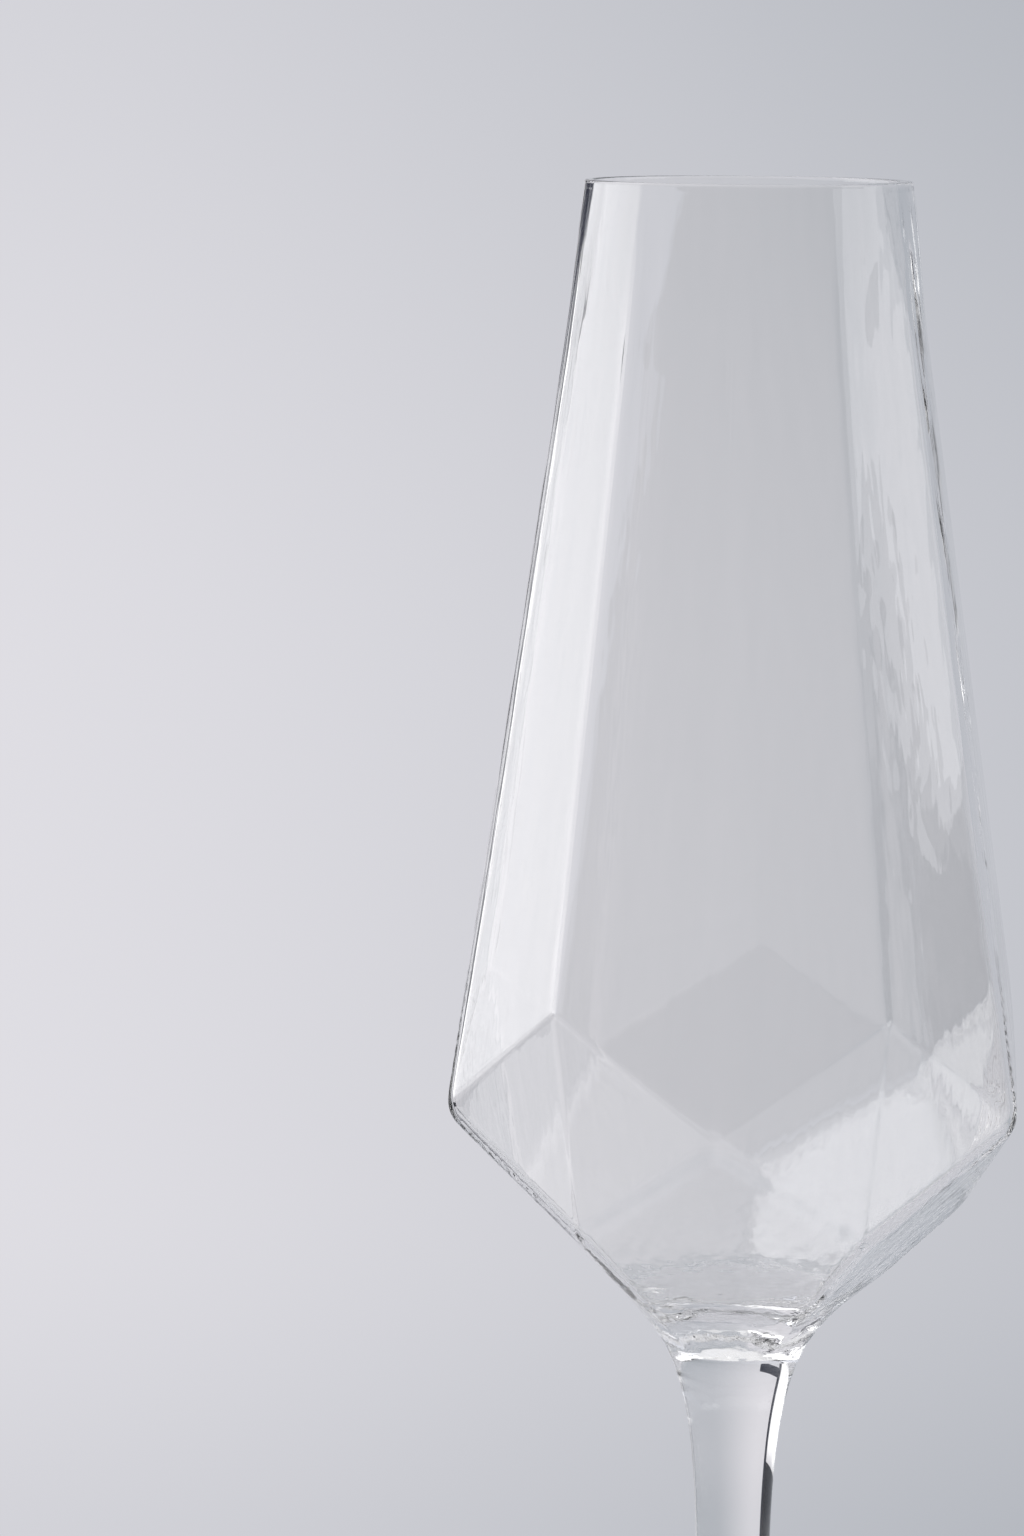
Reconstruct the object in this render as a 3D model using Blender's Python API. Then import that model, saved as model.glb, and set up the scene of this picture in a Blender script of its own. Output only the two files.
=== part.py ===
"""Faceted champagne flute: a blown bowl, a drawn stem and a foot, fused at two seams."""

import math

import bmesh
import bpy

# Bowl, metres. The waist is a zigzag: it dips to a valley in the middle of each lower facet
# and rises to a peak between two of them. The wall above has a flat facet from each valley to
# each peak, which turns round from FACET_TOP to the rim. Heights are counted from the valleys.
FACETS = 5
RIM_RADIUS = 0.0196
RIM_RISE = 0.1104
VALLEY_RADIUS = 0.0360
PEAK_RADIUS = 0.0339
PEAK_RISE = 0.0137
CORNER_RADIUS = 0.0276
CORNER_DROP = 0.0139
SEAM_DROP = 0.0310
FILLET_HEIGHT = 0.0140
FACET_TOP = 0.0880
RIM_WALL = 0.0014
WAIST_WALL = 0.0010
FACET_WALL = 0.00115
BASE_THICKNESS = 0.0060
FLOOR_ROUND = 0.0030
FACET_ROUNDNESS = 0.1

# Stem
SEAM_RADIUS = 0.00847
STEM_RADIUS = 0.0043
STEM_LENGTH = 0.0905
TOP_FLARE = 0.0082
FOOT_FLARE = 0.0034

# Foot
FOOT_RADIUS = 0.0370
FOOT_HEIGHT = 0.0080
FOOT_EDGE = 0.0022
FOOT_JOINT_RADIUS = 0.0075
FOOT_DISH = 3.2
REST_RING_INNER = 0.0240
REST_RING_OUTER = 0.0335
KICK_HEIGHT = 0.0016

# The two fused seams keep a hair of space between the pieces
SEAM_GAP = 0.0003

# Mesh fineness
FLANK_COLUMNS = 7
ROUNDING_ROWS = 4
UPPER_ROWS = 3
MIDDLE_ROWS = 3
LOWER_ROWS = 2
BEND_ROWS = 6
LIP_STEPS = 6
TURNED_SIDES = 56
STEM_RINGS = 22
FOOT_RINGS = 10

GLASS_COLOUR = (0.94, 0.95, 0.96, 1.0)
GLASS_ROUGHNESS = 0.02
GLASS_IOR = 1.5

# Levels worked out from the sizes above
STEM_FOOT_LEVEL = FOOT_HEIGHT + SEAM_GAP
STEM_TOP_LEVEL = STEM_FOOT_LEVEL + STEM_LENGTH
BOWL_SEAM_LEVEL = STEM_TOP_LEVEL + SEAM_GAP
VALLEY_LEVEL = BOWL_SEAM_LEVEL + SEAM_DROP
RIM_LEVEL = VALLEY_LEVEL + RIM_RISE
FLOOR_LEVEL = BOWL_SEAM_LEVEL + BASE_THICKNESS
HALF_FACET = math.pi / FACETS


def clear_scene():
    for item in list(bpy.data.objects):
        bpy.data.objects.remove(item, do_unlink=True)


def glass_material(name):
    material = bpy.data.materials.new(name)
    material.use_nodes = True
    shader = material.node_tree.nodes["Principled BSDF"]
    shader.inputs["Base Color"].default_value = GLASS_COLOUR
    shader.inputs["Roughness"].default_value = GLASS_ROUGHNESS
    shader.inputs["Metallic"].default_value = 0.0
    shader.inputs["IOR"].default_value = GLASS_IOR
    shader.inputs["Transmission Weight"].default_value = 1.0
    return material


def add_piece(name, mesh_builder, parent):
    mesh = bpy.data.meshes.new(name)
    bmesh.ops.recalc_face_normals(mesh_builder, faces=mesh_builder.faces)
    mesh_builder.to_mesh(mesh)
    mesh_builder.free()
    mesh.materials.append(glass_material(name + "_glass"))
    mesh.shade_smooth()
    mesh.set_sharp_from_angle(angle=math.radians(30))
    piece = bpy.data.objects.new(name, mesh)
    bpy.context.collection.objects.link(piece)
    piece.parent = parent
    return piece


# Curves in a half plane, as (radius, height) pairs

def mix(start, end, share):
    return (start[0] + (end[0] - start[0]) * share, start[1] + (end[1] - start[1]) * share)


def straight(start, end, steps):
    steps = round(steps)
    return [mix(start, end, step / steps) for step in range(1, steps + 1)]


def bend(start, control, end, steps):
    points = []
    steps = round(steps)
    for step in range(1, steps + 1):
        share = step / steps
        points.append(mix(mix(start, control, share), mix(control, end, share), share))
    return points


def arc(centre, radius, start_angle, end_angle, steps):
    points = []
    steps = round(steps)
    for step in range(steps + 1):
        angle = start_angle + (end_angle - start_angle) * step / steps
        points.append((centre[0] + radius * math.cos(angle), centre[1] + radius * math.sin(angle)))
    return points


def inset_corner(above, corner, below, wall):
    """The corner of the inner wall, a wall's thickness inside two runs of the outline."""
    first = (corner[0] - above[0], corner[1] - above[1])
    second = (below[0] - corner[0], below[1] - corner[1])
    first_length = math.hypot(*first)
    second_length = math.hypot(*second)
    first_normal = (first[1] / first_length, -first[0] / first_length)
    second_normal = (second[1] / second_length, -second[0] / second_length)
    middle = (first_normal[0] + second_normal[0], first_normal[1] + second_normal[1])
    reach = wall * 2 / (middle[0] ** 2 + middle[1] ** 2)
    return (corner[0] + middle[0] * reach, corner[1] + middle[1] * reach)


# The bowl

def on_edge(peak_end, valley_end, turn):
    """Where the straight edge from a peak to a valley crosses the half plane at this turn."""
    valley_x = valley_end[0] * math.cos(HALF_FACET)
    valley_y = valley_end[0] * math.sin(HALF_FACET)
    slope = math.tan(turn)
    share = peak_end[0] * slope / (valley_y - (valley_x - peak_end[0]) * slope)
    x = peak_end[0] + (valley_x - peak_end[0]) * share
    y = valley_y * share
    height = peak_end[1] + (valley_end[1] - peak_end[1]) * share
    return (math.hypot(x, y), height), share


def wall_column(rim, peak, valley, turn):
    """The wall from the round rim, through its flat facets, to the zigzag."""
    (flat_radius, waist_level), share = on_edge(peak, valley, turn)
    round_radius = peak[0] + (valley[0] - peak[0]) * share
    flatness = flat_radius / round_radius
    facet_top = VALLEY_LEVEL + FACET_TOP
    levels = [level for _, level in straight((0.0, rim[1]), (0.0, facet_top), ROUNDING_ROWS)]
    levels += [level for _, level in straight((0.0, facet_top), (0.0, waist_level), UPPER_ROWS)]
    points = []
    for level in levels:
        cone = mix(rim, (round_radius, waist_level), (rim[1] - level) / (rim[1] - waist_level))
        rise = max(0.0, (level - facet_top) / (rim[1] - facet_top))
        roundness = FACET_ROUNDNESS + (1 - FACET_ROUNDNESS) * rise ** 2 * (3 - 2 * rise)
        points.append((cone[0] * (flatness + (1 - flatness) * roundness), level))
    return points


def facet_point(valley, corner, turn, height):
    """A point of the sloping lower facet, which is flat and square to its valley."""
    run = (valley[0] - corner[0] * math.cos(HALF_FACET)) / (valley[1] - corner[1])
    depth = valley[0] + run * (height - valley[1])
    return (depth / math.cos(HALF_FACET - turn), height)


def outer_column(turn):
    rim = (RIM_RADIUS, RIM_LEVEL - RIM_WALL / 2)
    wall = wall_column(rim, OUTER_PEAK, OUTER_VALLEY, turn)
    edge = on_edge(OUTER_CORNER, OUTER_VALLEY, turn)[0]
    start = facet_point(OUTER_VALLEY, OUTER_CORNER, turn, FILLET_LEVEL)
    below = facet_point(OUTER_VALLEY, OUTER_CORNER, turn, BOWL_SEAM_LEVEL)
    seam = (SEAM_RADIUS, BOWL_SEAM_LEVEL)
    facet_run = (start[0] - below[0]) / (start[1] - below[1])
    seam_run = (SEAM_RADIUS - STEM_RADIUS) / TOP_FLARE
    rise = (seam[0] - below[0]) / (facet_run - seam_run)
    control = (seam[0] + seam_run * rise, seam[1] + rise)
    return (wall + straight(wall[-1], edge, MIDDLE_ROWS)
            + straight(edge, start, LOWER_ROWS) + bend(start, control, seam, BEND_ROWS))


def inner_column(turn):
    rim = (RIM_RADIUS - RIM_WALL, RIM_LEVEL - RIM_WALL / 2)
    wall = wall_column(rim, INNER_PEAK, INNER_VALLEY, turn)
    edge = on_edge(INNER_CORNER, INNER_VALLEY, turn)[0]
    start = facet_point(INNER_VALLEY, INNER_CORNER, turn, FLOOR_LEVEL + FLOOR_ROUND)
    control = facet_point(INNER_VALLEY, INNER_CORNER, turn, FLOOR_LEVEL)
    floor = (0.0, FLOOR_LEVEL)
    return (wall + straight(wall[-1], edge, MIDDLE_ROWS)
            + straight(edge, start, LOWER_ROWS) + bend(start, control, floor, BEND_ROWS))


def bowl_column(turn):
    """One closed run, from the cavity floor up over the lip and down to the seam's middle."""
    lip_centre = (RIM_RADIUS - RIM_WALL / 2, RIM_LEVEL - RIM_WALL / 2)
    lip = arc(lip_centre, RIM_WALL / 2, math.pi, 0.0, LIP_STEPS)
    return inner_column(turn)[::-1] + lip + outer_column(turn) + [(0.0, BOWL_SEAM_LEVEL)]


def make_bowl(parent):
    builder = bmesh.new()
    columns = []
    count = 2 * FACETS * FLANK_COLUMNS
    for index in range(count):
        azimuth = 2 * math.pi * index / count
        turn = abs(azimuth % (2 * HALF_FACET) - HALF_FACET)
        column = []
        for radius, height in bowl_column(turn):
            spot = (radius * math.sin(azimuth), -radius * math.cos(azimuth), height)
            column.append(builder.verts.new(spot))
        columns.append(column)
    for index, column in enumerate(columns):
        following = columns[(index + 1) % count]
        for row in range(len(column) - 1):
            corners = (column[row], following[row], following[row + 1], column[row + 1])
            builder.faces.new(corners)
    bmesh.ops.remove_doubles(builder, verts=builder.verts, dist=1e-6)
    return add_piece("bowl", builder, parent)


# The turned pieces

def make_turned(name, outline, parent):
    builder = bmesh.new()
    points = [builder.verts.new((radius, 0.0, height)) for radius, height in outline]
    edges = [builder.edges.new(pair) for pair in zip(points, points[1:])]
    bmesh.ops.spin(builder, geom=points + edges, cent=(0, 0, 0), axis=(0, 0, 1),
                   angle=2 * math.pi, steps=TURNED_SIDES, use_merge=True)
    bmesh.ops.remove_doubles(builder, verts=builder.verts, dist=1e-6)
    return add_piece(name, builder, parent)


def stem_radius(height):
    top = (SEAM_RADIUS - STEM_RADIUS) * math.exp(-(STEM_TOP_LEVEL - height) / TOP_FLARE)
    foot = (FOOT_JOINT_RADIUS - STEM_RADIUS) * math.exp(-(height - STEM_FOOT_LEVEL) / FOOT_FLARE)
    return STEM_RADIUS + top + foot


def make_stem(parent):
    outline = [(0.0, STEM_TOP_LEVEL)]
    for ring in range(STEM_RINGS + 1):
        # rings gather towards both ends, where the rod flares
        height = STEM_FOOT_LEVEL + STEM_LENGTH * (1 + math.cos(math.pi * ring / STEM_RINGS)) / 2
        outline.append((stem_radius(height), height))
    outline.append((0.0, STEM_FOOT_LEVEL))
    return make_turned("stem", outline, parent)


def make_foot(parent):
    edge_centre = (FOOT_RADIUS - FOOT_EDGE / 2, FOOT_EDGE / 2)
    edge = arc(edge_centre, FOOT_EDGE / 2, math.pi / 2, -math.pi / 3, LIP_STEPS)
    dish = []
    for ring in range(FOOT_RINGS):
        share = 1 - (ring / FOOT_RINGS) ** 1.5
        radius = edge_centre[0] - (edge_centre[0] - FOOT_JOINT_RADIUS) * share
        dish.append((radius, FOOT_EDGE + (FOOT_HEIGHT - FOOT_EDGE) * share ** FOOT_DISH))
    ring = [(REST_RING_OUTER, 0.0), (REST_RING_INNER, 0.0)]
    kick = bend(ring[-1], (REST_RING_INNER / 2, KICK_HEIGHT), (0.0, KICK_HEIGHT), BEND_ROWS)
    outline = [(0.0, FOOT_HEIGHT)] + dish + edge + ring + kick
    return make_turned("foot", outline, parent)


# Corners of the bowl's outside, then of its cavity
OUTER_VALLEY = (VALLEY_RADIUS, VALLEY_LEVEL)
OUTER_PEAK = (PEAK_RADIUS, VALLEY_LEVEL + PEAK_RISE)
OUTER_CORNER = (CORNER_RADIUS, VALLEY_LEVEL - CORNER_DROP)
OUTER_RIM = (RIM_RADIUS, RIM_LEVEL)
FILLET_LEVEL = BOWL_SEAM_LEVEL + FILLET_HEIGHT
FACET_FOOT = facet_point(OUTER_VALLEY, OUTER_CORNER, HALF_FACET, FILLET_LEVEL)
RIDGE_FOOT = facet_point(OUTER_VALLEY, OUTER_CORNER, 0.0, FILLET_LEVEL)
INNER_VALLEY = inset_corner(OUTER_RIM, OUTER_VALLEY, FACET_FOOT, WAIST_WALL)
INNER_PEAK = inset_corner(OUTER_RIM, OUTER_PEAK, OUTER_CORNER, WAIST_WALL)
INNER_CORNER = inset_corner(OUTER_PEAK, OUTER_CORNER, RIDGE_FOOT, FACET_WALL)

clear_scene()
glass = bpy.data.objects.new("champagne_glass", None)
bpy.context.collection.objects.link(glass)
make_bowl(glass)
make_stem(glass)
make_foot(glass)
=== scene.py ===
import math

import bpy
import numpy as np
from mathutils import Matrix, Vector


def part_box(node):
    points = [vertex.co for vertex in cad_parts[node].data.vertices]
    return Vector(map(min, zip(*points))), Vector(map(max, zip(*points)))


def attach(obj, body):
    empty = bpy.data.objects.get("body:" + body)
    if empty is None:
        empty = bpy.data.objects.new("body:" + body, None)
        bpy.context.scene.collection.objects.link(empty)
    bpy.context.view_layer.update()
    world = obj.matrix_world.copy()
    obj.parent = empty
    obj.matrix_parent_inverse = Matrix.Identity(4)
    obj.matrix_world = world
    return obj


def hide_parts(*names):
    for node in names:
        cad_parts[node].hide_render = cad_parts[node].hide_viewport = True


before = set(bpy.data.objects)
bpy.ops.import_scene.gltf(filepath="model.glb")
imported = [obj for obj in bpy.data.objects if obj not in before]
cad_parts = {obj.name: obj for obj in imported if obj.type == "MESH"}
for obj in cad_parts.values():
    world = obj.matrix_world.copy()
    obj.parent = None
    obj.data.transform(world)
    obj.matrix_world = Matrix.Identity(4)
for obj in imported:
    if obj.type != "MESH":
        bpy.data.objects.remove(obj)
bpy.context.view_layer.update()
print("frame loaded:", sorted(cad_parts))

scene = bpy.context.scene
mm = 0.001

# levels and radii that the solids already fix
bowlLow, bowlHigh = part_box("bowl")
stemLow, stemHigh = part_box("stem")
footLow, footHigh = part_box("foot")
seamTop = (bowlLow[2] + stemHigh[2]) / 2          # both halves of the hot seam meet here
seamFoot = (stemLow[2] + footHigh[2]) / 2
rimLevel = bowlHigh[2]
valleyRadius = -bowlLow[1]                        # a valley faces -Y
peakRadius = bowlHigh[1]                          # so a peak faces +Y


def mixed(a, b, share):
    return a + (b - a) * share


def eased(value, start, end):                     # smooth step from 0 at start to 1 at end
    share = np.clip((value - start) / (end - start), 0, 1)
    return share * share * (3 - 2 * share)


def gaussian(sigma):
    offsets = np.arange(-math.ceil(3 * sigma), math.ceil(3 * sigma) + 1)
    weights = np.exp(-0.5 * (offsets / sigma) ** 2)
    return offsets, weights / weights.sum()


def blurRows(grid, rowSigma, columnSigma):        # rounds facet edges, wraps round the bowl
    offsets, weights = gaussian(rowSigma)
    reach = offsets[-1]
    padded = np.pad(grid, ((reach, reach), (0, 0)), mode="reflect", reflect_type="odd")
    out = sum(w * padded[k:k + grid.shape[0]] for k, w in enumerate(weights))
    offsets, weights = gaussian(columnSigma)
    return sum(w * np.roll(out, k, axis=1) for k, w in zip(offsets, weights))


def gridMesh(name, radii, heights, azimuths, lowPole, highPole):
    rows, columns = radii.shape
    x = radii * np.sin(azimuths)[None, :]
    y = -radii * np.cos(azimuths)[None, :]
    points = np.stack([x, y, heights], axis=2).reshape(-1, 3).tolist()
    faces = []
    for row in range(rows - 1):
        for column in range(columns):
            after = (column + 1) % columns
            faces.append((row * columns + column, (row + 1) * columns + column,
                          (row + 1) * columns + after, row * columns + after))
    first = len(points)
    points.append((0, 0, lowPole))
    points.append((0, 0, highPole))
    for column in range(columns):
        after = (column + 1) % columns
        faces.append((column, after, first))
        faces.append(((rows - 1) * columns + after, (rows - 1) * columns + column, first + 1))
    mesh = bpy.data.meshes.new(name)
    mesh.from_pydata(points, [], faces)
    mesh.validate()
    mesh.shade_smooth()
    return mesh


# the faceted bowl
bowl = {
    "facets": 5,
    "rimRadius": 19.6 * mm,
    "lipWall": 1.4 * mm,
    "valleyRise": 31.15 * mm,       # above the seam
    "peakRise": 13.7 * mm,
    "valleyDip": 1.3 * mm,          # the lower facet starts this far under the zigzag's valley
    "cornerRadius": 29.0 * mm,
    "cornerDrop": 14.2 * mm,
    "filletHeight": 9.5 * mm,
    "roundness": 0.10,              # 0 has flat facets up the wall, 1 a round wall
    "facetTop": 88 * mm,            # above the valleys: the facets turn into the round lip from here
    "waistWall": 1.0 * mm,
    "facetWall": 1.15 * mm,
    "baseThickness": 6.0 * mm,
    "floorRound": 3.0 * mm,
    "thinSide": -83.0,              # degrees round to where the blown wall came out thinner
    "thinLip": 0.4 * mm,            # cavity off centre at the lip, nothing at the waist
    "edgeSoftness": 0.22 * mm,      # rounding of the zigzag and of the folds under its peaks
    "ridgeSoftness": (0.5 * mm, 1.0 * mm),     # the upright ridges above the peaks, low and high
    "bulgeSoftness": (0.6 * mm, 1.7 * mm),     # those above the valleys are hardly there
    "bulgeFrom": (0.3, 0.9),        # share of the way from a peak to a valley
    "ridgeFade": (0, 30 * mm),
    "creaseSoftness": 1.0 * mm,     # the lower crease, from valley to corner, is softest
    "creaseReach": 4.0 * mm,
    "stencil": 9,                   # points averaged each way to round an edge
    "stencilReach": 2.2,            # in softnesses
    "softnessBlur": (2, 1),         # rows and columns
    "lipHeight": 0.5 * mm,
    "lipSquareness": 0.45,
    "columns": 400,
    "gather": 0.75,                 # how far the columns crowd to the ridges
    "creaseStep": 0.12 * mm,        # row spacing beside a crease
    "upperRows": 170,
    "flankRows": 64,
    "facetRows": 40,
    "creaseSpread": 0.5 * mm,       # keeps the grid open where the creases meet at a valley
    "creaseSpreadTill": 3.0 * mm,   # none where they are further apart than this
    "floorRows": 30,
    "lipRows": 13,
    "finish": {
        "streaks": (1.5 * mm, 45 * mm),        # drawn in the fire polish: width and length
        "depth": 25e-6,
        "clouds": (14 * mm, 40 * mm),          # of tint and haze
        "haze": 0.008,
        "chill": (5.0 * mm, 2.5 * mm),         # swirls where the thick base cooled last
        "chillDepth": 220e-6,
        "chillAbove": (11 * mm, 1 * mm),       # the cavity's floor, from none to full
    },
}
ripples = {                         # soft waves left by the blowing, on the cavity side; along is in mm
    "streaks": {"seed": 3, "waves": 14, "around": (14, 40), "along": (70, 240), "depth": 3e-6},
    "mould": {"seed": 8, "waves": 26, "around": (12, 40), "along": (5, 14), "depth": 8e-6,
              "side": 52, "reach": 16, "elsewhere": 0.08},
    "chill": {"seed": 5, "waves": 30, "around": (5, 22), "along": (1.6, 4.5), "depth": 26e-6,
              "side": 85, "reach": 30, "elsewhere": 0.0},
    "swirl": {"seed": 12, "waves": 9, "around": (1, 5), "along": (2.2, 4.5), "depth": 26e-6},
}
rippleZones = {
    "underLip": 8 * mm,
    "chillBelow": (6 * mm, 16 * mm),           # the valleys, from none to full
    "chillRadius": 12 * mm,                    # inside it they fade towards the axis
    "swirlAbove": (8 * mm, 3 * mm),            # the cavity's floor, from none to full
    "swirlRadius": 9 * mm,
}


def insetCorner(above, corner, below, wall):
    first = np.subtract(corner, above)
    second = np.subtract(below, corner)
    normalA = np.array((first[1], -first[0])) / np.hypot(*first)
    normalB = np.array((second[1], -second[0])) / np.hypot(*second)
    middle = normalA + normalB
    return np.array(corner) + middle * wall * 2 / (middle @ middle)


halfFacet = math.pi / bowl["facets"]
valleyLevel = seamTop + bowl["valleyRise"]
floorLevel = seamTop + bowl["baseThickness"]
filletLevel = seamTop + bowl["filletHeight"]


def facetDepth(corners, height):                  # how far out the flat lower facet stands
    dip, corner = corners["dip"], corners["corner"]
    run = (dip[0] - corner[0] * math.cos(halfFacet)) / (dip[1] - corner[1])
    return dip[0] + run * (height - dip[1]), run


def edgeAt(peakEnd, valleyEnd, turn):             # the straight edge between two corners
    valleyX = valleyEnd[0] * math.cos(halfFacet)
    valleyY = valleyEnd[0] * math.sin(halfFacet)
    slope = np.tan(turn)
    share = peakEnd[0] * slope / (valleyY - (valleyX - peakEnd[0]) * slope)
    radius = np.hypot(mixed(peakEnd[0], valleyX, share), valleyY * share)
    return radius, mixed(peakEnd[1], valleyEnd[1], share), share


def wallRadius(corners, turn, height):            # rim, zigzag waist, folded flanks, lower facets
    flat, waistZ, share = edgeAt(corners["peak"], corners["valley"], turn)
    waistR = mixed(corners["peak"][0], corners["valley"][0], share)
    flatness = flat / waistR
    edgeR, edgeZ, share = edgeAt(corners["corner"], corners["dip"], turn)
    rimR, rimZ = corners["rim"]
    lipward = eased(height, valleyLevel + bowl["facetTop"], rimZ)
    roundness = mixed(bowl["roundness"], 1, lipward)
    upper = mixed(rimR, waistR, (rimZ - height) / (rimZ - waistZ)) * mixed(flatness, 1, roundness)
    waistR = waistR * mixed(flatness, 1, bowl["roundness"])
    flank = mixed(waistR, edgeR, (waistZ - height) / np.maximum(waistZ - edgeZ, 1e-7))
    lower = facetDepth(corners, height)[0] / np.cos(halfFacet - turn)
    return np.where(height >= waistZ, upper, np.where(height >= edgeZ, flank, lower))


outer = {
    "rim": (bowl["rimRadius"], rimLevel - bowl["lipHeight"]),
    "peak": (peakRadius, valleyLevel + bowl["peakRise"]),
    "valley": (valleyRadius, valleyLevel),
    "dip": (valleyRadius, valleyLevel - bowl["valleyDip"]),
    "corner": (bowl["cornerRadius"], valleyLevel - bowl["cornerDrop"]),
}
facetFoot = (facetDepth(outer, filletLevel)[0], filletLevel)
ridgeFoot = (facetFoot[0] / math.cos(halfFacet), filletLevel)
inner = {
    "rim": (bowl["rimRadius"] - bowl["lipWall"], rimLevel - bowl["lipHeight"]),
    "peak": insetCorner(outer["rim"], outer["peak"], outer["corner"], bowl["waistWall"]),
    "valley": insetCorner(outer["rim"], outer["valley"], outer["dip"], bowl["waistWall"]),
    "dip": insetCorner(outer["valley"], outer["dip"], facetFoot, bowl["waistWall"]),
    "corner": insetCorner(outer["peak"], outer["corner"], ridgeFoot, bowl["facetWall"]),
}


def rippleField(kind, azimuths, heights):
    waves = ripples[kind]
    draw = np.random.default_rng(waves["seed"])
    field = np.zeros(heights.shape)
    for _ in range(waves["waves"]):
        around = draw.integers(*waves["around"]) * draw.choice((-1, 1))
        along = draw.uniform(*waves["along"]) * mm
        phase = draw.uniform(0, 2 * math.pi)
        field += np.sin(around * azimuths[None, :] + 2 * math.pi * heights / along + phase)
    if "side" in waves:                           # strongest where the glass met the cold mould first
        off = (np.degrees(azimuths) - waves["side"] + 180) % 360 - 180
        field *= mixed(waves["elsewhere"], 1, np.exp(-0.5 * (off / waves["reach"]) ** 2))[None, :]
    return field * waves["depth"] / math.sqrt(waves["waves"] / 2)


def creaseRows(corners, turn, top, bottom):       # grid rows that run along both creases of the waist
    waistZ = edgeAt(corners["peak"], corners["valley"], turn)[1]
    edgeZ = edgeAt(corners["corner"], corners["dip"], turn)[1]
    spread = bowl["creaseSpread"] * (1 - eased(waistZ - edgeZ, 0, bowl["creaseSpreadTill"]))
    stops = [np.full_like(turn, top), waistZ + spread, edgeZ - spread, np.full_like(turn, bottom)]
    rows = [stops[0][None, :]]
    for part, count in enumerate((bowl["upperRows"], bowl["flankRows"], bowl["facetRows"])):
        above, below = stops[part], stops[part + 1]
        t = np.linspace(0, 1, count + 1)[1:, None]
        fine = np.minimum(bowl["creaseStep"] * count / (above - below), 1)
        start = fine if part > 0 else 1           # slopes of the spacing at both ends of the part
        end = fine if part < 2 else 1
        share = start * t * (1 - t) ** 2 + t * t * (3 - 2 * t) - end * t * t * (1 - t)
        rows.append(mixed(above, below, share))
    return np.vstack(rows)


def softWall(corners, azimuths, heights):         # averaged round each point, so edges come out rounded
    turn = np.abs(azimuths % (2 * halfFacet) - halfFacet)
    waistZ = edgeAt(corners["peak"], corners["valley"], turn)[1]
    edgeZ = edgeAt(corners["corner"], corners["dip"], turn)[1]
    rise = eased(heights - waistZ, *bowl["ridgeFade"])
    start, full = bowl["bulgeFrom"]
    towardsValley = eased(turn, start * halfFacet, full * halfFacet)
    overPeak = mixed(*bowl["ridgeSoftness"], rise)
    overValley = mixed(*bowl["bulgeSoftness"], rise)
    ridge = mixed(overPeak, overValley, towardsValley)
    near = np.exp(-((heights - edgeZ) / bowl["creaseReach"]) ** 2)
    fold = mixed(bowl["edgeSoftness"], bowl["bulgeSoftness"][0], towardsValley)
    low = mixed(bowl["ridgeSoftness"][1], bowl["bulgeSoftness"][0], towardsValley)
    around = np.where(heights > waistZ, ridge, np.where(heights > edgeZ, fold, low))
    around = blurRows(around, *bowl["softnessBlur"]) / corners["valley"][0]
    along = mixed(bowl["edgeSoftness"], bowl["creaseSoftness"], near)
    steps = np.linspace(-bowl["stencilReach"], bowl["stencilReach"], bowl["stencil"])
    weights = np.exp(-0.5 * steps ** 2)
    weights /= weights.sum()
    total = 0
    for aside, weightA in zip(steps, weights):
        turned = np.abs((azimuths + aside * around) % (2 * halfFacet) - halfFacet)
        for lift, weightL in zip(steps, weights):
            total = total + weightA * weightL * wallRadius(corners, turned, heights + lift * along)
    return total


def allRound(levels, radii):                      # each row stays at one level
    return np.broadcast_to(levels, radii.shape)


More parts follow.
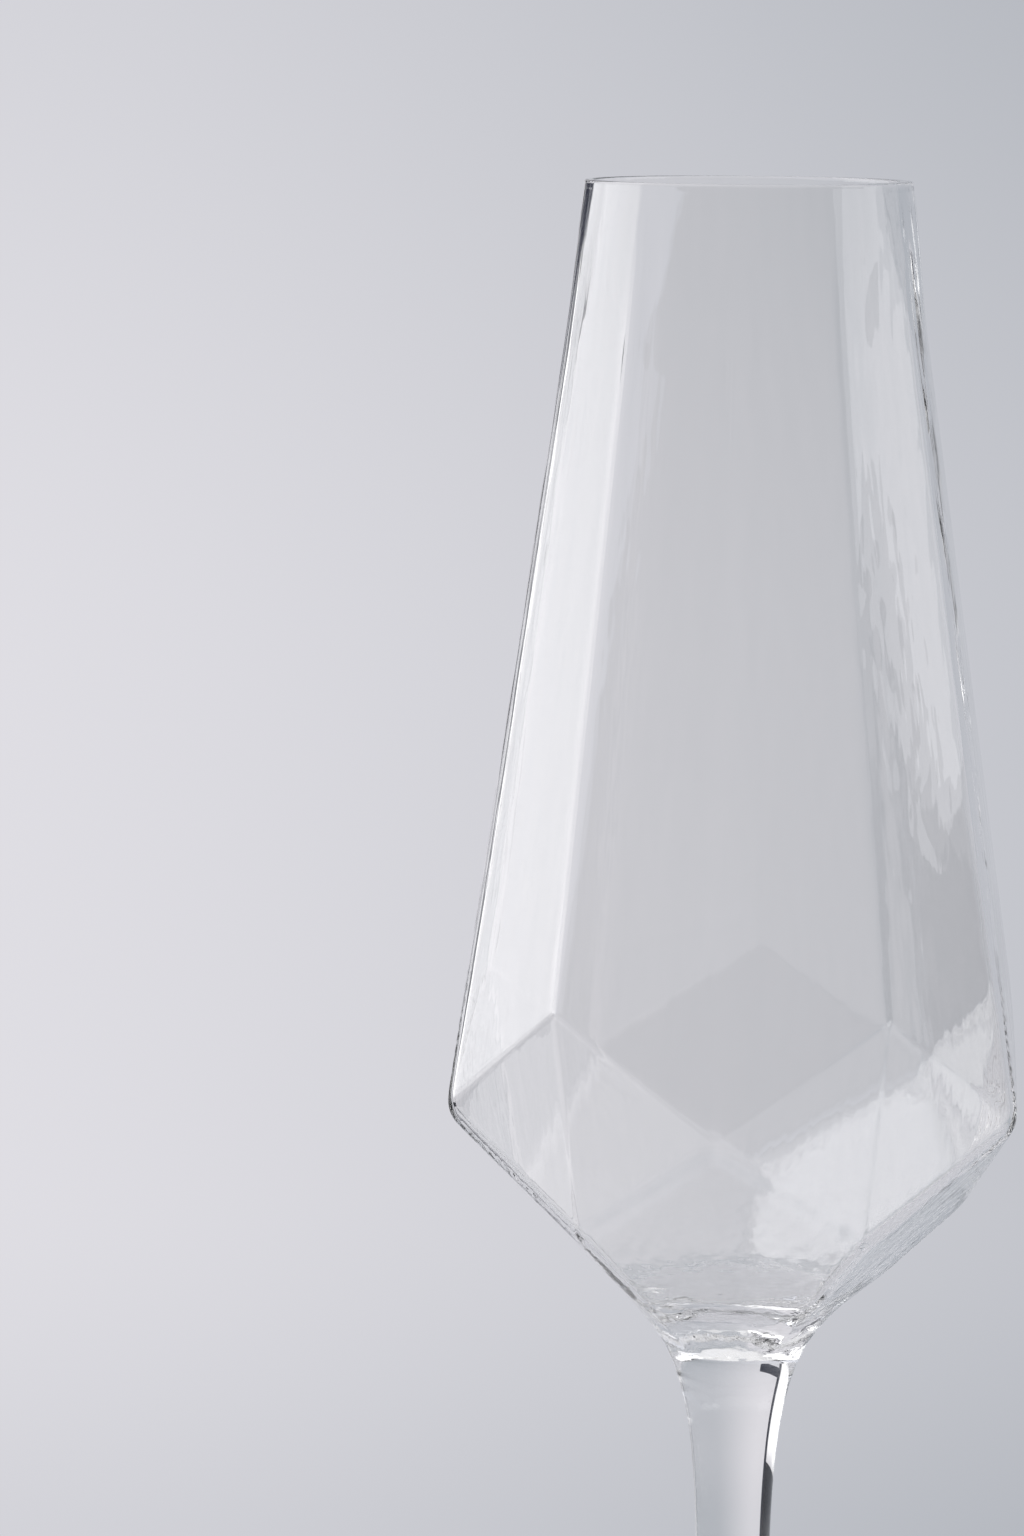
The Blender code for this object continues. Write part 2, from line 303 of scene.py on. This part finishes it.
def makeBowl():
    even = np.arange(bowl["columns"]) / bowl["columns"] * 2 * bowl["facets"]
    crowded = even - bowl["gather"] / (2 * math.pi) * np.sin(2 * math.pi * even)
    azimuths = crowded * halfFacet
    turn = np.abs(azimuths % (2 * halfFacet) - halfFacet)
    lipLevel = outer["rim"][1]

    # outside, lip to seam
    heights = creaseRows(outer, turn, lipLevel, filletLevel)
    radii = softWall(outer, azimuths, heights)
    depth, run = facetDepth(outer, filletLevel)
    start = radii[-1]
    run = run * start / depth
    reach = bowl["filletHeight"] / 3
    seamRun = (stem["seamRadius"] - stem["radius"]) / stem["topFlare"]
    t = np.linspace(0, 1, bowl["floorRows"] + 1)[1:, None]
    shares = ((1 - t) ** 3, 3 * t * (1 - t) ** 2, 3 * t * t * (1 - t), t ** 3)
    seamR = np.full_like(start, stem["seamRadius"])
    stopsR = (start, start - run * reach, seamR + seamRun * reach, seamR)
    stopsZ = (filletLevel, filletLevel - reach, seamTop + reach, seamTop)
    filletR = sum(share * stop for share, stop in zip(shares, stopsR))
    filletZ = allRound(sum(share * stop for share, stop in zip(shares, stopsZ)), filletR)
    outZ = np.vstack([heights, filletZ])
    outR = np.vstack([radii, filletR])

    # cavity, lip to floor
    bottom = floorLevel + bowl["floorRound"]
    heights = creaseRows(inner, turn, lipLevel, bottom)
    radii = softWall(inner, azimuths, heights)
    start = radii[-1]
    control = facetDepth(inner, floorLevel)[0] * start / facetDepth(inner, bottom)[0]
    steps = np.linspace(0, 1, bowl["floorRows"] + 2)[1:-1, None]
    floorR = (1 - steps) ** 2 * start + 2 * steps * (1 - steps) * control
    floorZ = allRound(mixed(bottom, floorLevel, 1 - (1 - steps) ** 2), floorR)
    inZ = np.vstack([heights, floorZ])
    inR = np.vstack([radii, floorR])
    thin = np.cos(azimuths - math.radians(bowl["thinSide"]))[None, :]
    inR += bowl["thinLip"] * thin * eased(inZ, valleyLevel, lipLevel)
    away = eased(inZ, lipLevel, lipLevel - rippleZones["underLip"])
    inR += away * rippleField("streaks", azimuths, inZ)
    inR += away * rippleField("mould", azimuths, inZ)
    start, full = rippleZones["chillBelow"]
    low = eased(inZ, valleyLevel - start, valleyLevel - full)
    inR += low * rippleField("chill", azimuths, inZ) * eased(inR, 0, rippleZones["chillRadius"])
    start, full = rippleZones["swirlAbove"]
    deep = eased(inZ, floorLevel + start, floorLevel + full) * eased(inR, 0, rippleZones["swirlRadius"])
    inR += deep * rippleField("swirl", azimuths, inZ)

    # fire-polished lip joins them
    angles = np.linspace(math.pi, 0, bowl["lipRows"] + 2)[1:-1, None]
    middle = (inR[0] + outR[0]) / 2
    swing = np.sign(np.cos(angles)) * np.abs(np.cos(angles)) ** bowl["lipSquareness"]
    lipR = middle + (outR[0] - inR[0]) / 2 * swing
    lipZ = allRound(lipLevel + bowl["lipHeight"] * np.sin(angles) ** bowl["lipSquareness"], lipR)
    allR = np.vstack([inR[::-1], lipR, outR])
    allZ = np.vstack([inZ[::-1], lipZ, outZ])
    return gridMesh("bowlShell", allR, allZ, azimuths, floorLevel, seamTop)


def makeTurned(name, outline, sides, lowPole, highPole):
    azimuths = np.arange(sides) * 2 * math.pi / sides
    radii = np.repeat(np.array(outline)[:, :1], sides, axis=1)
    heights = np.repeat(np.array(outline)[:, 1:], sides, axis=1)
    return gridMesh(name, radii, heights, azimuths, lowPole, highPole)


# the drawn stem
stem = {
    "seamRadius": 8.47 * mm,
    "radius": 4.3 * mm,
    "topFlare": 8.2 * mm,
    "footFlare": 3.4 * mm,
    "jointRadius": 7.5 * mm,
    "rings": 90,
    "sides": 120,
    "finish": {
        "streaks": (1.6 * mm, 40 * mm),
        "depth": 6e-6,
        "clouds": (9 * mm, 30 * mm),
        "haze": 0.008,
    },
}


def stemRadius(height):
    upper = (stem["seamRadius"] - stem["radius"]) * np.exp((height - seamTop) / stem["topFlare"])
    lower = (stem["jointRadius"] - stem["radius"]) * np.exp((seamFoot - height) / stem["footFlare"])
    return stem["radius"] + upper + lower


def makeStem():
    shares = (1 - np.cos(np.linspace(0, math.pi, stem["rings"]))) / 2
    levels = mixed(seamTop, seamFoot, shares)
    outline = [(float(stemRadius(z)), float(z)) for z in levels]
    outline[0] = (stem["seamRadius"], seamTop)
    outline[-1] = (stem["jointRadius"], seamFoot)
    return makeTurned("stemRod", outline, stem["sides"], seamTop, seamFoot)


# the pressed foot
foot = {
    "radius": 37.0 * mm,
    "edge": 2.2 * mm,
    "edgeTurn": 150.0,              # degrees that the rounded edge turns through
    "edgeSteps": 12,
    "dish": 3.2,                    # how steeply the top sinks from the stem
    "ringInner": 24.0 * mm,
    "ringOuter": 33.5 * mm,
    "kick": 1.6 * mm,               # hollow under the middle
    "kickSteps": 16,
    "rings": 60,
    "crowding": 1.5,                # rings crowd to the stem
    "sides": 160,
    "finish": {
        "streaks": (6 * mm, 6 * mm),
        "depth": 40e-6,
        "clouds": (16 * mm, 16 * mm),
        "haze": 0.012,
    },
}


def makeFoot():
    edgeMiddle = foot["radius"] - foot["edge"] / 2
    outline = []
    for ring in range(foot["rings"]):
        share = 1 - (ring / foot["rings"]) ** foot["crowding"]
        outline.append((mixed(edgeMiddle, stem["jointRadius"], share),
                        mixed(foot["edge"], seamFoot, share ** foot["dish"])))
    for step in range(foot["edgeSteps"] + 1):
        angle = math.pi / 2 - step / foot["edgeSteps"] * math.radians(foot["edgeTurn"])
        outline.append((edgeMiddle + foot["edge"] / 2 * math.cos(angle),
                        foot["edge"] / 2 + foot["edge"] / 2 * math.sin(angle)))
    outline += [(foot["ringOuter"], footLow[2]), (foot["ringInner"], footLow[2])]
    for step in range(1, foot["kickSteps"]):
        share = step / foot["kickSteps"]
        outline.append((foot["ringInner"] * (1 - share),
                        footLow[2] + foot["kick"] * (1 - (1 - share) ** 2)))
    return makeTurned("footDisc", outline, foot["sides"], seamFoot, footLow[2] + foot["kick"])


# one clear melt, with a finish for each piece
melt = {
    "tints": ((0.998, 0.997, 0.994), (0.992, 0.990, 0.987)),
    "bending": 1.5,
    "hazeFrom": (0.5, 0.8),         # level of the clouds, from none to full
    "detail": {"streaks": 1, "clouds": 3, "chill": 2},
}


def clearGlass(name, finish):
    material = bpy.data.materials.new(name)
    material.use_nodes = True
    nodes = material.node_tree.nodes
    links = material.node_tree.links
    shader = nodes["Principled BSDF"]
    shader.inputs["IOR"].default_value = melt["bending"]
    shader.inputs["Transmission Weight"].default_value = 1.0
    place = nodes.new("ShaderNodeTexCoord").outputs["Object"]

    def lumps(kind):                              # unevenness as wide and as tall as the finish says
        wide, tall = finish[kind]
        stretch = nodes.new("ShaderNodeMapping")
        stretch.inputs["Scale"].default_value = (1 / wide, 1 / wide, 1 / tall)
        links.new(place, stretch.inputs["Vector"])
        noise = nodes.new("ShaderNodeTexNoise")
        noise.inputs["Scale"].default_value = 1.0
        noise.inputs["Detail"].default_value = melt["detail"][kind]
        links.new(stretch.outputs["Vector"], noise.inputs["Vector"])
        return noise.outputs["Fac"]

    clouds = lumps("clouds")
    tint = nodes.new("ShaderNodeMix")             # the melt is not quite even in colour
    tint.data_type = "RGBA"
    links.new(clouds, tint.inputs[0])
    tint.inputs[6].default_value = (*melt["tints"][0], 1)
    tint.inputs[7].default_value = (*melt["tints"][1], 1)
    links.new(tint.outputs[2], shader.inputs["Base Color"])
    haze = nodes.new("ShaderNodeMapRange")        # a trace of haze from handling
    links.new(clouds, haze.inputs["Value"])
    haze.inputs["From Min"].default_value = melt["hazeFrom"][0]
    haze.inputs["From Max"].default_value = melt["hazeFrom"][1]
    haze.inputs["To Min"].default_value = 0.0
    haze.inputs["To Max"].default_value = finish["haze"]
    links.new(haze.outputs["Result"], shader.inputs["Roughness"])
    drawn = nodes.new("ShaderNodeBump")           # faint drawn streaks in the fire polish
    drawn.inputs["Strength"].default_value = 1.0
    drawn.inputs["Distance"].default_value = finish["depth"]
    links.new(lumps("streaks"), drawn.inputs["Height"])
    links.new(drawn.outputs["Normal"], shader.inputs["Normal"])
    if "chill" in finish:                         # swirls where the thick base cooled last
        height = nodes.new("ShaderNodeSeparateXYZ")
        links.new(place, height.inputs["Vector"])
        low = nodes.new("ShaderNodeMapRange")
        low.interpolation_type = "SMOOTHSTEP"
        links.new(height.outputs["Z"], low.inputs["Value"])
        low.inputs["From Min"].default_value = floorLevel + finish["chillAbove"][1]
        low.inputs["From Max"].default_value = floorLevel + finish["chillAbove"][0]
        low.inputs["To Min"].default_value = 1.0
        low.inputs["To Max"].default_value = 0.0
        swirls = nodes.new("ShaderNodeMath")
        swirls.operation = "MULTIPLY"
        links.new(lumps("chill"), swirls.inputs[0])
        links.new(low.outputs["Result"], swirls.inputs[1])
        chilled = nodes.new("ShaderNodeBump")
        chilled.inputs["Strength"].default_value = 1.0
        chilled.inputs["Distance"].default_value = finish["chillDepth"]
        links.new(swirls.outputs[0], chilled.inputs["Height"])
        links.new(drawn.outputs["Normal"], chilled.inputs["Normal"])
        links.new(chilled.outputs["Normal"], shader.inputs["Normal"])
    return material


def fusedSeam():                                  # glass on both sides of it, so no surface there
    material = bpy.data.materials.new("fusedSeam")
    material.use_nodes = True
    nodes = material.node_tree.nodes
    nodes.remove(nodes["Principled BSDF"])
    clear = nodes.new("ShaderNodeBsdfTransparent")
    material.node_tree.links.new(clear.outputs[0], nodes["Material Output"].inputs["Surface"])
    return material


def addPiece(name, mesh, material, node):
    piece = bpy.data.objects.new(name, mesh)
    scene.collection.objects.link(piece)
    mesh.materials.append(material)
    mesh.materials.append(seamMaterial)
    digits = 7                                    # tenths of a micron
    seams = ({round(seamTop, digits)}, {round(seamFoot, digits)})
    for face in mesh.polygons:
        if {round(mesh.vertices[k].co.z, digits) for k in face.vertices} in seams:
            face.material_index = 1
    seamEdges = {key for face in mesh.polygons if face.material_index == 1 for key in face.edge_keys}
    for edge in mesh.edges:
        edge.use_edge_sharp = edge.key in seamEdges
    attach(piece, "root")
    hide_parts(node)
    return piece


seamMaterial = fusedSeam()
bowlGlass = clearGlass("bowlGlass", bowl["finish"])
bowlPiece = addPiece("bowlShell", makeBowl(), bowlGlass, "bowl")
stemGlass = clearGlass("stemGlass", stem["finish"])
stemPiece = addPiece("stemRod", makeStem(), stemGlass, "stem")
footGlass = clearGlass("footGlass", foot["finish"])
footPiece = addPiece("footDisc", makeFoot(), footGlass, "foot")
print("glass modelled:", [len(p.data.polygons) for p in (bowlPiece, stemPiece, footPiece)])


# camera at the photograph's viewing angle
cameraView = {
    "azimuth": 6.65,                # degrees round from the facet's middle
    "distance": 742.8 * mm,
    "aside": -27.7 * mm,            # left of the axis
    "aboveValley": 130.7 * mm,
    "pitch": 6.99,                  # degrees down
    "roll": 0.43,                   # degrees
    "lens": 145.6,
    "sensor": 36.0,
    "sees": (0.01, 20.0),           # metres
}


def makeCamera():
    data = bpy.data.cameras.new("photoCamera")
    camera = bpy.data.objects.new("photoCamera", data)
    scene.collection.objects.link(camera)
    data.sensor_fit = "VERTICAL"
    data.sensor_height = cameraView["sensor"]
    data.lens = cameraView["lens"]
    data.clip_start, data.clip_end = cameraView["sees"]
    turn = Matrix.Rotation(math.radians(cameraView["azimuth"]), 4, "Z")
    tilt = Matrix.Rotation(math.radians(90 - cameraView["pitch"]), 4, "X")
    roll = Matrix.Rotation(math.radians(cameraView["roll"]), 4, "Z")
    height = valleyLevel + cameraView["aboveValley"]
    place = Vector((cameraView["aside"], -cameraView["distance"], height))
    camera.matrix_world = turn @ Matrix.Translation(place) @ tilt @ roll
    scene.camera = camera
    return camera


makeCamera()
print("camera placed")

# surroundings seen from the glass: aside runs from straight behind (0) to the right, in degrees
backdrop = {
    "light": (0.749, 0.739, 0.781),
    "dark": (0.403, 0.428, 0.470),
    "lightSide": -7.0,              # fades from here
    "darkSide": 9.5,                # to here
    "darkShare": 0.3,               # the light's share left there
    "above": (-6.5, 3.5),           # degrees up, dims from the first to the second
    "below": (-10.8, -15.1),
    "fade": 0.3,
}
panels = {
    "room": {"aside": (-180, 180), "up": (-95, 95), "soft": 1, "light": (0.60, 0.60, 0.62)},
    "ceiling": {"aside": (-180, 180), "up": (50, 95), "soft": 14, "light": (0.90, 0.90, 0.92)},
    "underside": {"aside": (-180, 180), "up": (-95, -30), "soft": 5, "light": (0.50, 0.50, 0.52)},
    "lowRing": {"aside": (45, 315), "up": (-30, -6), "soft": 3, "light": (0.52, 0.52, 0.53)},
    "backdrop": {"aside": (-60, 60), "up": (-40, 50), "soft": 20, "light": None},
    "tableLeft": {"aside": (-95, -62), "up": (-32, -18), "soft": 3, "light": (1.00, 1.00, 1.02)},
    "gap": {"aside": (-37.5, -13), "up": (-40, 45), "soft": 1, "light": (0.03, 0.033, 0.05)},
    "cameraSide": {"aside": (75, 265), "up": (-6, 50), "soft": 3, "light": (0.12, 0.12, 0.12)},
    "fill": {"aside": (-128.5, -80), "up": (-2, 55), "soft": 0.2, "light": (0.85, 0.88, 0.98),
             "lean": (-1.0, 9.3)},
    "keyEdge": {"aside": (-60, -37.5), "up": (-5, 45), "soft": 1.5, "light": (1.25, 1.25, 1.27)},
    "key": {"aside": (-68, -56), "up": (-5, 45), "soft": 2, "light": (1.88, 1.88, 1.90)},
    "keyFront": {"aside": (-96, -67), "up": (-5, 45), "soft": 2, "light": (2.00, 2.00, 2.02)},
    "highKey": {"aside": (-72, -50), "up": (42, 57), "soft": 2, "light": (2.40, 2.40, 2.45)},
}


def studioWorld():
    world = bpy.data.worlds.new("studio")
    scene.world = world
    world.use_nodes = True
    nodes = world.node_tree.nodes
    links = world.node_tree.links

    def feed(socket, value):
        if isinstance(value, bpy.types.NodeSocket):
            links.new(value, socket)
        else:
            socket.default_value = value

    def reckon(operation, a, b=0.0):
        node = nodes.new("ShaderNodeMath")
        node.operation = operation
        feed(node.inputs[0], a)
        feed(node.inputs[1], b)
        return node.outputs[0]

    def ramp(value, start, end):                  # eased 0 to 1 from start to end
        node = nodes.new("ShaderNodeMapRange")
        node.interpolation_type = "SMOOTHSTEP"
        feed(node.inputs["Value"], value)
        node.inputs["From Min"].default_value = min(start, end)
        node.inputs["From Max"].default_value = max(start, end)
        node.inputs["To Min"].default_value = 0 if start < end else 1
        node.inputs["To Max"].default_value = 1 if start < end else 0
        return node.outputs["Result"]

    def blend(share, a, b):
        node = nodes.new("ShaderNodeMix")
        node.data_type = "RGBA"
        feed(node.inputs[0], share)
        feed(node.inputs[6], a if isinstance(a, bpy.types.NodeSocket) else (*a, 1))
        feed(node.inputs[7], b if isinstance(b, bpy.types.NodeSocket) else (*b, 1))
        return node.outputs[2]

    def along(direction, axis):
        node = nodes.new("ShaderNodeVectorMath")
        node.operation = "DOT_PRODUCT"
        links.new(direction, node.inputs[0])
        node.inputs[1].default_value = axis
        return node.outputs["Value"]

    turn = math.radians(cameraView["azimuth"])
    direction = nodes.new("ShaderNodeTexCoord").outputs["Generated"]
    right = along(direction, (math.cos(turn), math.sin(turn), 0))
    behind = along(direction, (-math.sin(turn), math.cos(turn), 0))
    aside = reckon("DEGREES", reckon("ARCTAN2", right, behind))
    up = reckon("DEGREES", reckon("ARCSINE", along(direction, (0, 0, 1))))

    # the pale backdrop, brightest on the left at mid height
    sideways = ramp(aside, backdrop["darkSide"], backdrop["lightSide"])
    sideways = reckon("MULTIPLY", sideways, 1 - backdrop["darkShare"])
    sideways = reckon("ADD", sideways, backdrop["darkShare"])
    above = reckon("MULTIPLY", ramp(up, *backdrop["above"]), backdrop["fade"])
    below = reckon("MULTIPLY", ramp(up, *backdrop["below"]), backdrop["fade"])
    level = reckon("SUBTRACT", reckon("SUBTRACT", sideways, above), below)
    pale = blend(level, backdrop["dark"], backdrop["light"])

    colour = pale
    for panel in panels.values():
        middle = sum(panel["aside"]) / 2
        half = (panel["aside"][1] - panel["aside"][0]) / 2
        slope, pivot = panel.get("lean", (0, 0))  # a leaning panel moves sideways with height
        shift = reckon("MULTIPLY", reckon("SUBTRACT", up, pivot), slope)
        off = nodes.new("ShaderNodeMath")
        off.operation = "WRAP"
        links.new(reckon("SUBTRACT", reckon("SUBTRACT", aside, middle), shift), off.inputs[0])
        off.inputs[1].default_value = 180
        off.inputs[2].default_value = -180
        soft = panel["soft"]
        mask = ramp(reckon("ABSOLUTE", off.outputs[0]), half + soft, half - soft) if half < 180 else 1.0
        low = ramp(up, panel["up"][0] - soft, panel["up"][0] + soft)
        high = ramp(up, panel["up"][1] + soft, panel["up"][1] - soft)
        mask = reckon("MULTIPLY", reckon("MULTIPLY", low, high), mask)
        colour = blend(mask, colour, panel["light"] or pale)
    seen = nodes.new("ShaderNodeLightPath").outputs["Is Camera Ray"]
    colour = blend(seen, colour, pale)
    links.new(colour, nodes["Background"].inputs["Color"])
    return world


studioWorld()


# the pale floor, a disc that fades out at its edge
floor = {
    "radius": 280 * mm,
    "fadeFrom": 200 * mm,
    "under": 0.05 * mm,             # the foot
    "sides": 96,
    "colour": (0.76, 0.76, 0.78),
    "roughness": 0.7,
}


def makeFloor():
    sides = floor["sides"]
    points = [(0, 0, 0)]
    for k in range(sides):
        angle = k * 2 * math.pi / sides
        points.append((floor["radius"] * math.cos(angle), floor["radius"] * math.sin(angle), 0))
    faces = [(0, 1 + k, 1 + (k + 1) % sides) for k in range(sides)]
    mesh = bpy.data.meshes.new("paleFloor")
    mesh.from_pydata(points, [], faces)
    disc = bpy.data.objects.new("paleFloor", mesh)
    disc.location.z = footLow[2] - floor["under"]
    scene.collection.objects.link(disc)
    material = bpy.data.materials.new("palePaper")
    material.use_nodes = True
    nodes = material.node_tree.nodes
    links = material.node_tree.links
    paint = nodes["Principled BSDF"]
    paint.inputs["Base Color"].default_value = (*floor["colour"], 1)
    paint.inputs["Roughness"].default_value = floor["roughness"]
    place = nodes.new("ShaderNodeTexCoord")
    length = nodes.new("ShaderNodeVectorMath")
    length.operation = "LENGTH"
    links.new(place.outputs["Object"], length.inputs[0])
    fade = nodes.new("ShaderNodeMapRange")
    fade.interpolation_type = "SMOOTHSTEP"
    links.new(length.outputs["Value"], fade.inputs["Value"])
    fade.inputs["From Min"].default_value = floor["fadeFrom"]
    fade.inputs["From Max"].default_value = floor["radius"]
    clear = nodes.new("ShaderNodeBsdfTransparent")
    mix = nodes.new("ShaderNodeMixShader")
    links.new(fade.outputs["Result"], mix.inputs[0])
    links.new(paint.outputs[0], mix.inputs[1])
    links.new(clear.outputs[0], mix.inputs[2])
    links.new(mix.outputs[0], nodes["Material Output"].inputs["Surface"])
    mesh.materials.append(material)
    return disc


makeFloor()


def stagePiece(name, points, faces, material):    # lights the glass, but the camera doesn't see it
    mesh = bpy.data.meshes.new(name)
    mesh.from_pydata(points, [], faces)
    mesh.materials.append(material)
    piece = bpy.data.objects.new(name, mesh)
    scene.collection.objects.link(piece)
    piece.visible_camera = False
    piece.visible_shadow = False
    return piece


def glowing(name):
    material = bpy.data.materials.new(name)
    material.use_nodes = True
    nodes = material.node_tree.nodes
    nodes.remove(nodes["Principled BSDF"])
    glow = nodes.new("ShaderNodeEmission")
    material.node_tree.links.new(glow.outputs[0], nodes["Material Output"].inputs["Surface"])
    return material, glow


def upright(name, strip, lowAt, high, material):  # a bent strip that stands round the glass
    points = []
    for k in range(strip["steps"] + 1):
        aside = mixed(strip["aside"][0], strip["aside"][1], k / strip["steps"])
        angle = math.radians(aside - cameraView["azimuth"])
        x = strip["distance"] * math.sin(angle)
        y = strip["distance"] * math.cos(angle)
        points += [(x, y, lowAt(aside)), (x, y, high)]
    faces = [(2 * k, 2 * k + 2, 2 * k + 3, 2 * k + 1) for k in range(strip["steps"])]
    return stagePiece(name, points, faces, material)


# the paper behind the glass that its walls, creases and stem bend into view; it glows with painted
# light, lighter on the left at mid height and darker to the right, above and below
paper = {
    "aside": (-32.5, 75),
    "distance": 420 * mm,
    "height": (-60 * mm, 650 * mm),
    "steps": (105, 142),
    "notch": (-15, 206 * mm, 262 * mm),        # cut out left of this angle, from level to level
}


def paintedLightAt(x, y, z):                              # the backdrop's painted light, as the camera sees it there
    right = x - cameraView["aside"]
    behind = y + cameraView["distance"]
    above = z - valleyLevel - cameraView["aboveValley"]
    aside = np.degrees(np.arctan2(right, behind))
    up = np.degrees(np.arctan2(above, np.hypot(right, behind)))
    sideways = eased(aside, backdrop["darkSide"], backdrop["lightSide"])
    share = mixed(backdrop["darkShare"], 1, sideways)
    share -= backdrop["fade"] * (eased(up, *backdrop["above"]) + eased(up, *backdrop["below"]))
    return mixed(np.array(backdrop["dark"]), np.array(backdrop["light"]), share[:, None])


def makePaper():
    columns, rows = paper["steps"]
    angles = np.radians(np.linspace(*paper["aside"], columns + 1))
    levels = np.linspace(*paper["height"], rows + 1)
    angle, z = [grid.ravel() for grid in np.meshgrid(angles, levels)]
    x = paper["distance"] * np.sin(angle)
    y = paper["distance"] * np.cos(angle)
    colours = paintedLightAt(x, y, z)
    turn = Matrix.Rotation(math.radians(cameraView["azimuth"]), 3, "Z")
    points = [tuple(turn @ Vector(point)) for point in zip(x, y, z)]
    wide = columns + 1
    end, low, high = paper["notch"]
    faces = []
    for row in range(rows):
        for k in range(columns):
            if low < levels[row] < high and angles[k] < math.radians(end):
                continue
            first = row * wide + k
            faces.append((first, first + 1, first + wide + 1, first + wide))
    # the paper glows with this painted light gradient instead of being lit by the lamps
    material, glow = glowing("sweepPaintedLight")
    source = material.node_tree.nodes.new("ShaderNodeAttribute")
    source.attribute_name = "tone"
    material.node_tree.links.new(source.outputs["Color"], glow.inputs["Color"])
    sweep = stagePiece("paperSweep", points, faces, material)
    tone = sweep.data.attributes.new("tone", "FLOAT_COLOR", "POINT")
    tone.data.foreach_set("color", np.hstack([colours, np.ones((len(colours), 1))]).ravel())
    return sweep


makePaper()


# a low dark card, left and behind, that the camera doesn't see: a sheet of painted shade, which the
# stem bends into view as its dark line
card = {
    "aside": (-104, -36),
    "distance": 420 * mm,
    "height": (-25 * mm, 39 * mm),
    "steps": 24,
    "colour": (0.03, 0.032, 0.045),
    "roughness": 0.9,
}


def makeCard():
    material = bpy.data.materials.new("paintedShadeCard")
    material.use_nodes = True
    paint = material.node_tree.nodes["Principled BSDF"]
    # near black: painted shade for the surroundings on that side
    paint.inputs["Base Color"].default_value = (*card["colour"], 1)
    paint.inputs["Roughness"].default_value = card["roughness"]
    low, high = card["height"]
    return upright("darkCard", card, lambda aside: low, high, material)


makeCard()


# the soft panel on the right, whose lower edge rises towards the camera
softPanel = {
    "aside": (70, 115),
    "distance": 550 * mm,
    "low": 198 * mm,
    "rise": (83, 87, 75 * mm),      # from this angle to this one, by so much
    "high": 850 * mm,
    "steps": 90,
    "light": (1.30, 1.30, 1.34),
}


def panelLow(aside):
    start, end, rise = softPanel["rise"]
    return softPanel["low"] + rise * float(eased(aside, start, end))


def makeSoftPanel():
    material, glow = glowing("panelCloth")
    glow.inputs["Color"].default_value = (*softPanel["light"], 1)
    return upright("softPanel", softPanel, panelLow, softPanel["high"], material)


makeSoftPanel()
print("studio set")

scene.view_settings.view_transform = "Standard"
scene.cycles.max_bounces = 96                     # light is guided a long way inside the wall
scene.cycles.transmission_bounces = 64
scene.cycles.glossy_bounces = 64
scene.cycles.transparent_max_bounces = 32         # the seams
